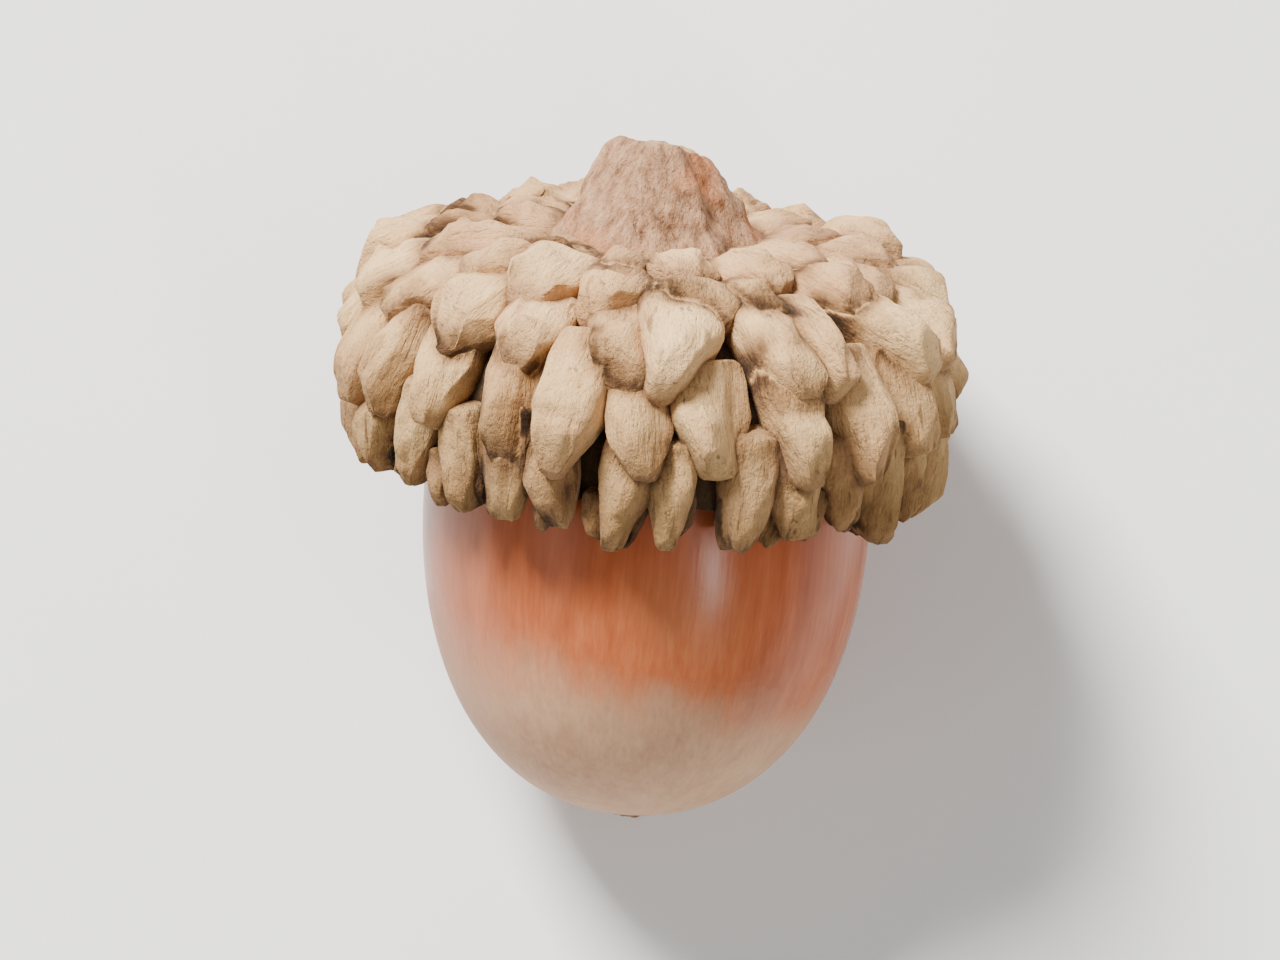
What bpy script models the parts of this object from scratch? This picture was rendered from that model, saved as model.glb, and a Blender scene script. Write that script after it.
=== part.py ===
"""An acorn lying on its side: a smooth nut that sits in a cup of thick, overlapping scales.

Both pieces are modelled upright, in a frame where the cup's rim lies close to the plane z = 0, the crown
with its stalk stub points up and the nut's tip points down. An empty then lays them down together.
"""

import math
import random
from collections import namedtuple

import bmesh
import bpy
from mathutils import Matrix, Vector

MM = 0.001

# The nut: its widest place, the reach and fullness of its two ends, its scar, and the umbo at its tip
NUT_RADIUS = 9.1 * MM
NUT_WIDEST = -1.5 * MM
NUT_BASE_REACH = 9.2 * MM
NUT_BASE_FULLNESS = 2.5
NUT_TIP_REACH = 13.0 * MM
NUT_TIP_FULLNESS = 2.25
SCAR_HEIGHT = 7.1 * MM
SCAR_BULGE = 0.25 * MM
UMBO_RADIUS = 1.7 * MM
UMBO_STEP_RADIUS = 1.4 * MM
UMBO_STEP = 0.14 * MM
UMBO_NECK_RADIUS = 0.7 * MM
UMBO_NECK = 0.42 * MM
UMBO_POINT_RADIUS = 0.4 * MM
UMBO_HEIGHT = 0.6 * MM
UMBO_PIT = 0.2 * MM
NUT_STEPS = 48
NUT_ARC_POINTS = 9

# The nut sits a little askew in the cup
NUT_SKEW = math.radians(-2.5)

# The cup's own wall, under the scales, and the hollow that the nut sits in
CUP_RADIUS = 11.3 * MM
CUP_WIDEST = 3.6 * MM
CUP_CROWN = 9.4 * MM
CUP_FULLNESS = 2.7
RIM_RADIUS = 10.5 * MM
RIM_HEIGHT = 0.2 * MM
SEAT_GAP = 0.35 * MM
RIM_GAP = 0.8 * MM
CUP_STEPS = 36
CUP_ARC_POINTS = 9
FLANK_POINTS = 3
CAVITY_POINTS = 6
CAVITY_OVERRUN = 4.0 * MM

# The stalk's stub on the crown
STUB_FOOT_RADIUS = 4.5 * MM
STUB_TOP_RADIUS = 1.9 * MM
STUB_TOP = 13.9 * MM
STUB_ROOT = 8.2 * MM
STUB_LEAN = 0.8 * MM
STUB_FULLNESS = 3.2
STUB_RIDGE_DEPTH = 0.07
STUB_RIDGE_WAVES = (2, 3, 4)
STUB_SIDES = 10
STUB_RINGS = 7

# The scales, in rows from the rim up to the stub: how far a row's middles lie from the crown along the wall,
# how many it has, their size, and how many degrees their tips stand off
ScaleRow = namedtuple("ScaleRow", "from_crown count length width height lift")
SCALE_ROWS = (
    ScaleRow(15.6 * MM, 30, 4.9 * MM, 2.45 * MM, 1.45 * MM, 2.0),
    ScaleRow(12.8 * MM, 24, 5.2 * MM, 3.10 * MM, 1.85 * MM, 7.0),
    ScaleRow(10.1 * MM, 21, 5.0 * MM, 3.60 * MM, 1.95 * MM, 9.0),
    ScaleRow(7.5 * MM, 17, 4.6 * MM, 3.50 * MM, 1.80 * MM, 9.0),
    ScaleRow(5.3 * MM, 12, 4.0 * MM, 3.10 * MM, 1.50 * MM, 8.0),
)
SCALE_SIDES = 6
SCALE_RINGS = 6
SCALE_ROOT_DEPTH = 1.5 * MM
SCALE_FULLNESS = 2.6
SCALE_TAPER = 0.38
SCALE_TAPER_ONSET = 1.6
SCALE_ROOT_RISE = 0.75
SCALE_SQUARENESS = 0.85
SCALE_KEEL = 0.75
SCALE_SEED = 5
CUP_TURN = math.radians(39)
TURN_SPREAD = 0.22
SHIFT_SPREAD = 0.3 * MM
SIZE_SPREAD = 0.18
SWING_SPREAD = math.radians(9)
ROLL_SPREAD = math.radians(12)

# How it lies: the crown is raised, and the lowest scales and the nut's belly have small flats at z = 0
TILT = math.radians(22.7)
RIM_CENTRE = (0.0, 0.5 * MM, 10.38 * MM)
FLAT_CUTTER_SIDE = 60 * MM
FLAT_CUTTER_DEPTH = 10 * MM

WALL_SAMPLES = 240
WALL_TANGENT_REACH = 1.2 * MM
MERGE_DISTANCE = 0.00001
SHARP_ANGLE = math.radians(30)

CUP_COLOUR = (0.50, 0.37, 0.26)
CUP_ROUGHNESS = 0.9
NUT_COLOUR = (0.37, 0.11, 0.045)
NUT_ROUGHNESS = 0.35


def clear_scene():
    for thing in list(bpy.data.objects):
        bpy.data.objects.remove(thing, do_unlink=True)


def new_collection(name):
    collection = bpy.data.collections.new(name)
    bpy.context.scene.collection.children.link(collection)
    return collection


def material(name, colour, roughness):
    finish = bpy.data.materials.new(name)
    finish.use_nodes = True
    shader = finish.node_tree.nodes["Principled BSDF"]
    shader.inputs["Base Color"].default_value = (*colour, 1.0)
    shader.inputs["Roughness"].default_value = roughness
    shader.inputs["Metallic"].default_value = 0.0
    return finish


def add_object(name, mesh, collection):
    thing = bpy.data.objects.new(name, mesh)
    collection.objects.link(thing)
    return thing


def turned(name, profile, steps, collection):
    """A turned solid from (radius, height) points that run down its outer side, its ends on the axis."""
    mesh = bpy.data.meshes.new(name)
    points = [(radius, 0.0, height) for radius, height in profile]
    edges = [(i, i + 1) for i in range(len(points) - 1)]
    mesh.from_pydata(points, edges, [])
    thing = add_object(name, mesh, collection)
    screw = thing.modifiers.new("turn", "SCREW")
    screw.axis = "Z"
    screw.steps = steps
    screw.render_steps = steps
    screw.use_merge_vertices = True
    screw.merge_threshold = MERGE_DISTANCE
    screw.use_smooth_shade = True
    return thing


def apply_modifiers(thing):
    evaluated = thing.evaluated_get(bpy.context.evaluated_depsgraph_get())
    mesh = bpy.data.meshes.new_from_object(evaluated)
    thing.modifiers.clear()
    thing.data = mesh


def oval_radius(offset, reach, fullness):
    """The nut's radius at a height above or below its widest place."""
    return NUT_RADIUS * (1 - abs(offset / reach) ** fullness) ** (1 / fullness)


def nut_base_radius(height):
    return oval_radius(height - NUT_WIDEST, NUT_BASE_REACH, NUT_BASE_FULLNESS)


def nut_profile():
    scar_radius = nut_base_radius(SCAR_HEIGHT)
    points = [(0.0, SCAR_HEIGHT + SCAR_BULGE), (scar_radius / 2, SCAR_HEIGHT + 0.75 * SCAR_BULGE)]
    for i in range(NUT_ARC_POINTS):
        share = math.sin(0.5 * math.pi * (1 - i / NUT_ARC_POINTS))
        height = NUT_WIDEST + share * (SCAR_HEIGHT - NUT_WIDEST)
        points.append((nut_base_radius(height), height))
    umbo_turn = math.acos((UMBO_RADIUS / NUT_RADIUS) ** (NUT_TIP_FULLNESS / 2))
    for i in range(NUT_ARC_POINTS + 1):
        turn = umbo_turn * i / NUT_ARC_POINTS
        radius = NUT_RADIUS * math.cos(turn) ** (2 / NUT_TIP_FULLNESS)
        height = NUT_WIDEST - NUT_TIP_REACH * math.sin(turn) ** (2 / NUT_TIP_FULLNESS)
        points.append((radius, height))
    shoulder = points[-1][1]
    points.append((UMBO_STEP_RADIUS, shoulder - UMBO_STEP))
    points.append((UMBO_NECK_RADIUS, shoulder - UMBO_NECK))
    points.append((UMBO_POINT_RADIUS, shoulder - UMBO_HEIGHT))
    points.append((0.0, shoulder - UMBO_HEIGHT + UMBO_PIT))
    return points


def cup_wall_point(share):
    """The wall's outer side: share runs from 0 at the crown over 1 at the widest place to 2 at the rim."""
    if share <= 1:
        turn = 0.5 * math.pi * share
        radius = CUP_RADIUS * math.sin(turn) ** (2 / CUP_FULLNESS)
        height = CUP_WIDEST + (CUP_CROWN - CUP_WIDEST) * max(math.cos(turn), 0.0) ** (2 / CUP_FULLNESS)
    else:
        drop = share - 1
        radius = CUP_RADIUS - (CUP_RADIUS - RIM_RADIUS) * drop ** 2
        height = CUP_WIDEST - (CUP_WIDEST - RIM_HEIGHT) * drop
    return Vector((radius, height))


def cup_profile():
    points = [tuple(cup_wall_point(i / CUP_ARC_POINTS)) for i in range(CUP_ARC_POINTS + 1)]
    points += [tuple(cup_wall_point(1 + i / FLANK_POINTS)) for i in range(1, FLANK_POINTS + 1)]
    points.append((0.0, RIM_HEIGHT))
    return points


def cavity_profile():
    """The cavity's outline, carried on below the rim so that it also trims the scales that pass it."""
    points = [(0.0, SCAR_HEIGHT + SCAR_BULGE + SEAT_GAP)]
    for i in range(CAVITY_POINTS + 1):
        share = i / CAVITY_POINTS
        height = math.cos(0.5 * math.pi * share) * SCAR_HEIGHT
        gap = SEAT_GAP + (RIM_GAP - SEAT_GAP) * share
        points.append((nut_base_radius(height) + gap, height + SEAT_GAP))
    points.append((NUT_RADIUS + RIM_GAP, -CAVITY_OVERRUN))
    points.append((0.0, -CAVITY_OVERRUN))
    return points


def cup_wall_samples():
    """Points along the wall's outer side, each with its distance from the crown."""
    samples = []
    travelled = 0.0
    for i in range(WALL_SAMPLES + 1):
        point = cup_wall_point(2 * i / WALL_SAMPLES)
        if samples:
            travelled += (point - samples[-1][1]).length
        samples.append((travelled, point))
    return samples


def wall_frame(samples, distance, turn):
    """The place at a distance from the crown, with the sideways, downward and outward directions there."""
    near = [point for travelled, point in samples if abs(travelled - distance) < WALL_TANGENT_REACH]
    here = min(samples, key=lambda sample: abs(sample[0] - distance))[1]
    along = (near[-1] - near[0]).normalized()
    radial = Vector((math.cos(turn), math.sin(turn), 0.0))
    down = radial * along.x + Vector((0.0, 0.0, along.y))
    out = radial * -along.y + Vector((0.0, 0.0, along.x))
    side = down.cross(out)
    place = radial * here.x + Vector((0.0, 0.0, here.y))
    frame = Matrix((side, down, out)).transposed().to_4x4()
    return Matrix.Translation(place) @ frame


def shaped_ball(name, sides, rings, form, collection):
    """A ball whose points form() moves, from each one's turn about the poles and its share of the way."""
    shape = bmesh.new()
    bmesh.ops.create_uvsphere(shape, u_segments=sides, v_segments=rings, radius=1.0)
    for vert in shape.verts:
        turn = math.atan2(vert.co.y, vert.co.x)
        vert.co = form(turn, 0.5 + 0.5 * vert.co.z)
    bmesh.ops.recalc_face_normals(shape, faces=shape.faces)
    mesh = bpy.data.meshes.new(name)
    shape.to_mesh(mesh)
    shape.free()
    return add_object(name, mesh, collection)


def scale_form(length, width, height):
    """One scale: its root is sunk, its back has a keel, and it narrows to a blunt tip."""

    def form(turn, share):
        swell = (1 - abs(2 * share - 1) ** SCALE_FULLNESS) ** (1 / SCALE_FULLNESS)
        taper = 1 - SCALE_TAPER * share ** SCALE_TAPER_ONSET
        across = math.cos(turn + math.pi / SCALE_SIDES)
        up = math.sin(turn + math.pi / SCALE_SIDES)
        x = 0.5 * width * swell * taper * math.copysign(abs(across) ** SCALE_SQUARENESS, across)
        y = length * (share - 0.5)
        if up > 0:
            z = height * swell * (SCALE_ROOT_RISE + (1 - SCALE_ROOT_RISE) * share) * up ** SCALE_KEEL
        else:
            z = SCALE_ROOT_DEPTH * swell * (1 - 0.5 * share) * up
        return Vector((x, y, z))

    return form


def add_scales(collection):
    draw = random.Random(SCALE_SEED)
    samples = cup_wall_samples()
    for row_number, row in enumerate(SCALE_ROWS):
        step = 2 * math.pi / row.count
        for i in range(row.count):
            turn = CUP_TURN + step * (i + 0.5 * (row_number % 2) + draw.uniform(-TURN_SPREAD, TURN_SPREAD))
            distance = row.from_crown + draw.uniform(-SHIFT_SPREAD, SHIFT_SPREAD)
            size = 1 + draw.uniform(-SIZE_SPREAD, SIZE_SPREAD)
            breadth = 1 + draw.uniform(-SIZE_SPREAD, SIZE_SPREAD)
            swing = draw.uniform(-SWING_SPREAD, SWING_SPREAD)
            roll = draw.uniform(-ROLL_SPREAD, ROLL_SPREAD)
            form = scale_form(row.length * size, row.width * breadth, row.height * size)
            scale = shaped_ball(f"scale_{row_number}_{i}", SCALE_SIDES, SCALE_RINGS, form, collection)
            pose = Matrix.Rotation(swing, 4, "Z") @ Matrix.Rotation(math.radians(row.lift), 4, "X")
            scale.matrix_world = wall_frame(samples, distance, turn) @ pose @ Matrix.Rotation(roll, 4, "Y")


def add_stub(collection):
    draw = random.Random(SCALE_SEED)
    ridges = [(waves, draw.uniform(0.0, 2 * math.pi)) for waves in STUB_RIDGE_WAVES]

    def form(turn, share):
        swell = (1 - abs(2 * share - 1) ** STUB_FULLNESS) ** (1 / STUB_FULLNESS)
        radius = STUB_TOP_RADIUS + (STUB_FOOT_RADIUS - STUB_TOP_RADIUS) * (1 - share)
        ridge = sum(math.cos(waves * turn + start) for waves, start in ridges)
        radius *= swell * (1 + STUB_RIDGE_DEPTH * ridge)
        height = STUB_ROOT + (STUB_TOP - STUB_ROOT) * share
        return Vector((radius * math.cos(turn) - STUB_LEAN * share, radius * math.sin(turn), height))

    return shaped_ball("stub", STUB_SIDES, STUB_RINGS, form, collection)


def keep_largest_shell(thing):
    """Fills what the union sealed in and drops loose scraps."""
    shape = bmesh.new()
    shape.from_mesh(thing.data)
    unseen = set(shape.verts)
    shells = []
    while unseen:
        shell = {unseen.pop()}
        edge_of_search = list(shell)
        while edge_of_search:
            vert = edge_of_search.pop()
            for edge in vert.link_edges:
                other = edge.other_vert(vert)
                if other in unseen:
                    unseen.remove(other)
                    shell.add(other)
                    edge_of_search.append(other)
        shells.append(shell)
    largest = max(shells, key=len)
    loose = [vert for vert in shape.verts if vert not in largest]
    bmesh.ops.delete(shape, geom=loose, context="VERTS")
    shape.to_mesh(thing.data)
    shape.free()


def make_cap(collection, cutters):
    cap = turned("cap", cup_profile(), CUP_STEPS, collection)
    apply_modifiers(cap)
    growths = new_collection("scales and stub")
    add_scales(growths)
    add_stub(growths)
    union = cap.modifiers.new("scales", "BOOLEAN")
    union.operation = "UNION"
    union.operand_type = "COLLECTION"
    union.collection = growths
    union.solver = "EXACT"
    bpy.context.view_layer.update()
    apply_modifiers(cap)
    for growth in list(growths.objects):
        bpy.data.objects.remove(growth, do_unlink=True)
    bpy.data.collections.remove(growths)
    keep_largest_shell(cap)
    cavity = turned("cavity", cavity_profile(), CUP_STEPS, cutters)
    cavity.hide_render = True
    cavity.display_type = "WIRE"
    hollow = cap.modifiers.new("cavity", "BOOLEAN")
    hollow.operation = "DIFFERENCE"
    hollow.solver = "EXACT"
    hollow.object = cavity
    cap.data.materials.append(material("cup scales", CUP_COLOUR, CUP_ROUGHNESS))
    cap.data.shade_smooth()
    cap.data.set_sharp_from_angle(angle=SHARP_ANGLE)
    return cap


def make_nut(collection):
    nut = turned("nut", nut_profile(), NUT_STEPS, collection)
    nut.data.materials.append(material("nut shell", NUT_COLOUR, NUT_ROUGHNESS))
    seat = Vector((0.0, 0.0, SCAR_HEIGHT))
    skew = Matrix.Rotation(NUT_SKEW, 4, "Y")
    nut.matrix_basis = Matrix.Translation(seat) @ skew @ Matrix.Translation(-seat)
    return nut


def lay_down(pieces, collection):
    acorn = bpy.data.objects.new("acorn", None)
    collection.objects.link(acorn)
    acorn.location = RIM_CENTRE
    acorn.rotation_euler = (TILT - math.pi / 2, 0.0, 0.0)
    for piece in pieces:
        piece.parent = acorn


def cut_flats(pieces, cutters):
    """Everything below z = 0 goes, which leaves the flats that the acorn rests on."""
    scale = (FLAT_CUTTER_SIDE, FLAT_CUTTER_SIDE, FLAT_CUTTER_DEPTH)
    bpy.ops.mesh.primitive_cube_add(size=1.0, location=(0.0, 0.0, -FLAT_CUTTER_DEPTH / 2), scale=scale)
    below = bpy.context.object
    below.name = "surface"
    below.hide_render = True
    below.display_type = "WIRE"
    for home in list(below.users_collection):
        home.objects.unlink(below)
    cutters.objects.link(below)
    for piece in pieces:
        cut = piece.modifiers.new("flat", "BOOLEAN")
        cut.operation = "DIFFERENCE"
        cut.solver = "EXACT"
        cut.object = below


def main():
    clear_scene()
    collection = new_collection("acorn")
    cutters = new_collection("cutters")
    cap = make_cap(collection, cutters)
    nut = make_nut(collection)
    lay_down([cap, nut, cutters.objects["cavity"]], collection)
    cut_flats([cap, nut], cutters)


main()
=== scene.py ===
"""A dried acorn on a pale floor: the cup's felted scales, its stalk stub and the glossy nut.

The acorn is modelled upright in millimetres, in a frame where the cup's rim lies close to the plane
z = 0 and the crown points up. It is then laid on its side, to where the solids lie.
"""

import math
import random
from collections import namedtuple

import bpy
import numpy as np
from mathutils import Matrix, Vector, noise
from mathutils.bvhtree import BVHTree


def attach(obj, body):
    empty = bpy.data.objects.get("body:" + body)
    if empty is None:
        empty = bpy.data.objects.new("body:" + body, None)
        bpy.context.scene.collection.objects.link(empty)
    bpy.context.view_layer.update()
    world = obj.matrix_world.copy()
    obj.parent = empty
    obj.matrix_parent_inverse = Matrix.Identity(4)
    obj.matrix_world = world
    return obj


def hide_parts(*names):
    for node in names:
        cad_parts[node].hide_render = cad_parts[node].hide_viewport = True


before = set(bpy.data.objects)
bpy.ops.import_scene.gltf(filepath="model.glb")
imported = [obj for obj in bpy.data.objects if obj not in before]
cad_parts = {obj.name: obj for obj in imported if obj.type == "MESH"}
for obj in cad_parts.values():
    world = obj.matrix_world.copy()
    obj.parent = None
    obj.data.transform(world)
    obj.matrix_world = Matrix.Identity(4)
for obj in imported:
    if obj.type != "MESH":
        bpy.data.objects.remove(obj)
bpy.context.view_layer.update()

# The nut, in millimetres
NUT_RADIUS = 9.1
NUT_WIDEST = -1.5
NUT_BASE_REACH = 9.2
NUT_BASE_FULLNESS = 2.5
NUT_TIP_REACH = 13.0
NUT_TIP_FULLNESS = 2.25
NUT_SKEW = math.radians(-2.5)
SCAR_HEIGHT = 7.1
SCAR_BULGE = 0.25
UMBO_RADIUS = 1.7
UMBO_PIT = 0.2
UMBO_STEPS = (
    (1.7, 0.0),
    (1.6, 0.14),
    (1.4, 0.19),
    (1.1, 0.27),
    (0.7, 0.42),
    (0.55, 0.5),
    (0.4, 0.6),
)
UMBO_RINGS = 36
SCAR_RINGS = 12
BODY_RINGS = 60
NUT_SIDES = 256

# The nut's relief: fine ribs along it, shallow dents, and the umbo's flaky surface
RIB_DEPTH = 0.004
RIB_SIZE = 0.55
RIB_STRETCH = 0.07
DENT_DEPTH = 0.07
DENT_SIZE = 7.0
FLAKE_DEPTH = 0.08
FLAKE_SIZE = 0.4

# The cup's wall and the hollow that the nut sits in
CUP_RADIUS = 11.3
CUP_WIDEST = 3.6
CUP_CROWN = 9.4
CUP_FULLNESS = 2.7
RIM_RADIUS = 10.5
RIM_HEIGHT = 0.2
SEAT_GAP = 0.35
RIM_GAP = 0.8
CUP_SIDES = 180

# The stalk's stub on the crown
STUB_FOOT_RADIUS = 4.5
STUB_TOP_RADIUS = 1.9
STUB_TOP = 13.9
STUB_ROOT = 8.2
STUB_LEAN = 0.8
STUB_FULLNESS = 3.2
STUB_RIDGE_DEPTH = 0.07
STUB_RIDGE_WAVES = (2, 3, 4)
STUB_FACES = (
    ((0.8, -0.35, 0.75), 2.35),
    ((0.25, -0.9, 0.6), 2.45),
    ((-0.75, -0.6, 0.5), 2.6),
    ((-0.5, 0.7, 0.7), 2.4),
    ((0.6, 0.75, 0.6), 2.5),
    ((0.1, 0.2, 1.0), 2.3),
)
STUB_HEART = (-0.4, 0.0, 11.0)
STUB_FACE_FLATNESS = 0.92
STUB_FLARE = 0.9
STUB_FLARE_HEIGHT = 0.6
STUB_SIDES = 96
STUB_RINGS = 60

# The scales, in rows from the rim up to the stub, as the solids have them
ScaleRow = namedtuple("ScaleRow", "from_crown count length width height lift")
SCALE_ROWS = (
    ScaleRow(15.6, 30, 4.9, 2.45, 1.45, 2.0),
    ScaleRow(12.8, 24, 5.2, 3.10, 1.85, 7.0),
    ScaleRow(10.1, 21, 5.0, 3.60, 1.95, 9.0),
    ScaleRow(7.5, 17, 4.6, 3.50, 1.80, 9.0),
    ScaleRow(5.3, 12, 4.0, 3.10, 1.50, 8.0),
)
SCALE_ROOT_DEPTH = 1.5
SCALE_SEED = 5
CUP_TURN = math.radians(39)
TURN_SPREAD = 0.22
SHIFT_SPREAD = 0.3
SIZE_SPREAD = 0.18
SWING_SPREAD = math.radians(9)
ROLL_SPREAD = math.radians(12)
WALL_SAMPLES = 240
WALL_TANGENT_REACH = 1.2

# How it lies
TILT = math.radians(22.7)
RIM_CENTRE = (0.0, 0.0005, 0.01038)

# The scales in fine. Where they haven't grown together they are narrower, so that dark gaps open
GAP_SHARE = 0.91
FUSED_SHARE = 1.02
ROW_FUSION = (0.0, 0.0, 0.25, 0.75, 0.9, 0.0)
ROOT_RISE = 0.45
END_FULLNESS = 5.0
BLOCK_SQUARENESS = 0.56
TOP_SIDES = 36
UNDER_SIDES = 6
SCALE_RINGS = 30

# The wall in fine: sunk below the scales' roots, with a rounded edge, a lining and the scar's seat
WALL_RECESS = 0.55
RIM_RECESS = 0.22
WALL_STEPS = 40
WALL_RINGS = 66
RIM_ROUNDING = ((0.12, 0.1), (-0.05, 0.12))
LINING_RINGS = 40
SEAT_RINGS = 8
HOLLOW_CLEARANCE = 0.12

# How far the wall and its rim take the lining's dark colour, as painted shade in the gaps between the
# scales
WALL_PAINTED_SHADE = 0.9
RIM_PAINTED_SHADE = 0.92

# The form of one scale, as ranges that each scale draws from
SHOULDER_PLACE = (0.35, 0.65)
TIP_WIDTH = (0.2, 0.5)
GROOVE_PLACE = (0.35, 0.75)
SEAM_PLACE = (-0.5, 0.5)
SEAM_SLANT = (-0.2, 0.2)
SEAM_DEPTH = (0.02, 0.07)
BEND = (-0.16, 0.16)
FUSED_TIP_WIDTH = 0.25
FUSED_GROOVE_DEPTH = 0.4
GROOVE_DEPTH = 0.22
CREASE_WIDTH = 0.07

# The flat faces that chip a scale's back: where each begins and how steeply it falls
KEEL_PLACE = (-0.3, 0.3)
KEEL_HEIGHT = (0.92, 1.08)
KEEL_SLOPE = (0.3, 1.2)
TIP_CUT_PLACE = (0.15, 0.6)
TIP_CUT_SLOPE = (0.6, 1.5)
CORNER_CUTS = 3
CORNER_CUT_PLACE = (0.3, 0.7)
CORNER_CUT_SLOPE = (0.5, 1.4)
LOWEST_CUT = 0.12
EDGE_WEAR = 0.015

# Relief over the cup: wrinkles along the grain, lumps, and knobs where scales have grown together
WRINKLE_DEPTH = 0.07
WOOD_WRINKLE_DEPTH = 0.03
LUMP_DEPTH = 0.07
KNOB_DEPTH = 0.22

# Small scales that fill the gaps along the rim
RIM_TIPS = ScaleRow(16.9, 38, 2.3, 1.35, 0.75, 3.0)

# How open each point is, from rays of a short reach, for painted crevice shade; fused scales count a bit
# more open
SKY_RAYS = 14
SKY_REACH = 1.5
SKY_START = 0.04
FUSED_SKY = 0.03

# The heights between which the scales darken towards the rim
LOW_BAND = (8.5, 0.5)

# The light from all round
WORLD_COLOUR = (1.0, 0.99, 0.97, 1.0)
WORLD_STRENGTH = 0.26

# The lamps: name, azimuth, elevation, distance, size, power and colour
LIGHT_TARGET = (0.0, 0.0, 0.01)
LIGHTS = (
    ("key", 218, 44, 0.5, 0.15, 8.2, (1.0, 0.98, 0.95)),
    ("fill", 60, 60, 0.6, 0.5, 0.9, (1.0, 0.99, 0.98)),
    ("glint", 46, 36, 0.5, 0.045, 0.42, (1.0, 0.98, 0.96)),
    ("sheen", -50, 32, 0.5, 0.2, 0.2, (1.0, 0.98, 0.96)),
)

# The camera
CAMERA_AZIMUTH = math.radians(6.0)
CAMERA_ELEVATION = math.radians(83.5)
CAMERA_DISTANCE = 0.29
CAMERA_TARGET = (0.0, 0.0, 0.0095)
CAMERA_LENS = 200.0

# Half the length of the floor's side
FLOOR_REACH = 1.5

Scale = namedtuple("Scale", "frame length width height")
Skin = namedtuple("Skin", "points faces marks")


def cup_wall_point(share, recess=0.0, rim_recess=0.0):
    """The wall's outer side. The share is 0 at the crown, 1 at the widest place and 2 at the rim."""
    widest = CUP_RADIUS - recess
    if share <= 1:
        turn = 0.5 * math.pi * share
        rise = CUP_CROWN - recess - CUP_WIDEST
        radius = widest * math.sin(turn) ** (2 / CUP_FULLNESS)
        height = CUP_WIDEST + rise * max(math.cos(turn), 0.0) ** (2 / CUP_FULLNESS)
    else:
        drop = share - 1
        radius = widest - (widest - RIM_RADIUS + rim_recess) * drop ** 2
        height = CUP_WIDEST - (CUP_WIDEST - RIM_HEIGHT) * drop
    return Vector((radius, height))


def cup_wall_samples():
    """Points along the wall's outer side, each with its distance from the crown."""
    samples = []
    travelled = 0.0
    for i in range(WALL_SAMPLES + 1):
        point = cup_wall_point(2 * i / WALL_SAMPLES)
        if samples:
            travelled += (point - samples[-1][1]).length
        samples.append((travelled, point))
    return samples


def wall_frame(samples, distance, turn):
    """The place at a distance from the crown, with its sideways, downward and outward directions."""
    near = [point for travelled, point in samples if abs(travelled - distance) < WALL_TANGENT_REACH]
    here = min(samples, key=lambda sample: abs(sample[0] - distance))[1]
    along = (near[-1] - near[0]).normalized()
    radial = Vector((math.cos(turn), math.sin(turn), 0.0))
    down = radial * along.x + Vector((0.0, 0.0, along.y))
    out = radial * -along.y + Vector((0.0, 0.0, along.x))
    side = down.cross(out)
    place = radial * here.x + Vector((0.0, 0.0, here.y))
    return Matrix.Translation(place) @ Matrix((side, down, out)).transposed().to_4x4()


def scale_layout():
    """Every scale's frame and size, a list for each row, drawn in the same order as for the solids."""
    draw = random.Random(SCALE_SEED)
    samples = cup_wall_samples()
    rows = []
    for row_number, row in enumerate(SCALE_ROWS + (RIM_TIPS,)):
        step = 2 * math.pi / row.count
        scales = []
        for i in range(row.count):
            place = i + 0.5 * (row_number % 2) + draw.uniform(-TURN_SPREAD, TURN_SPREAD)
            turn = CUP_TURN + step * place
            distance = row.from_crown + draw.uniform(-SHIFT_SPREAD, SHIFT_SPREAD)
            size = 1 + draw.uniform(-SIZE_SPREAD, SIZE_SPREAD)
            breadth = 1 + draw.uniform(-SIZE_SPREAD, SIZE_SPREAD)
            swing = draw.uniform(-SWING_SPREAD, SWING_SPREAD)
            roll = draw.uniform(-ROLL_SPREAD, ROLL_SPREAD)
            pose = Matrix.Rotation(swing, 4, "Z") @ Matrix.Rotation(math.radians(row.lift), 4, "X")
            frame_here = wall_frame(samples, distance, turn) @ pose @ Matrix.Rotation(roll, 4, "Y")
            scales.append(Scale(frame_here, row.length * size, row.width * breadth, row.height * size))
        rows.append(scales)
    return rows


def closed_rings(sides, rings):
    """The faces of a closed body: a pole, rings of points below it, and the other pole."""
    last = 1 + (rings - 1) * sides
    faces = []
    for side in range(sides):
        after = (side + 1) % sides
        faces.append((0, 1 + side, 1 + after))
        for ring in range(rings - 2):
            low = 1 + ring * sides
            faces.append((low + side, low + sides + side, low + sides + after, low + after))
        end = 1 + (rings - 2) * sides
        faces.append((end + side, last, end + after))
    return faces


def turned(profile, sides):
    """A turned body as points and faces, from (radius, height) points that start and end on the axis."""
    turns = 2 * math.pi * np.arange(sides) / sides
    rings = [
        np.column_stack((radius * np.cos(turns), radius * np.sin(turns), np.full(sides, height)))
        for radius, height in profile[1:-1]
    ]
    ends = np.array([(0.0, 0.0, profile[0][1]), (0.0, 0.0, profile[-1][1])])
    return np.vstack((ends[:1], *rings, ends[1:])), closed_rings(sides, len(profile) - 1)


def new_object(name, points, faces):
    mesh = bpy.data.meshes.new(name)
    mesh.from_pydata([tuple(point) for point in points], [], faces)
    mesh.update()
    thing = bpy.data.objects.new(name, mesh)
    bpy.context.scene.collection.objects.link(thing)
    return thing


def new_piece(name, skins):
    """One object from several skins, with the marks of every point joined as well."""
    faces = []
    start = 0
    for skin in skins:
        faces += [tuple(start + corner for corner in face) for face in skin.faces]
        start += len(skin.points)
    piece = new_object(name, np.vstack([skin.points for skin in skins]), faces)
    marks = {key: np.concatenate([skin.marks[key] for skin in skins]) for key in skins[0].marks}
    return piece, marks


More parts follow.
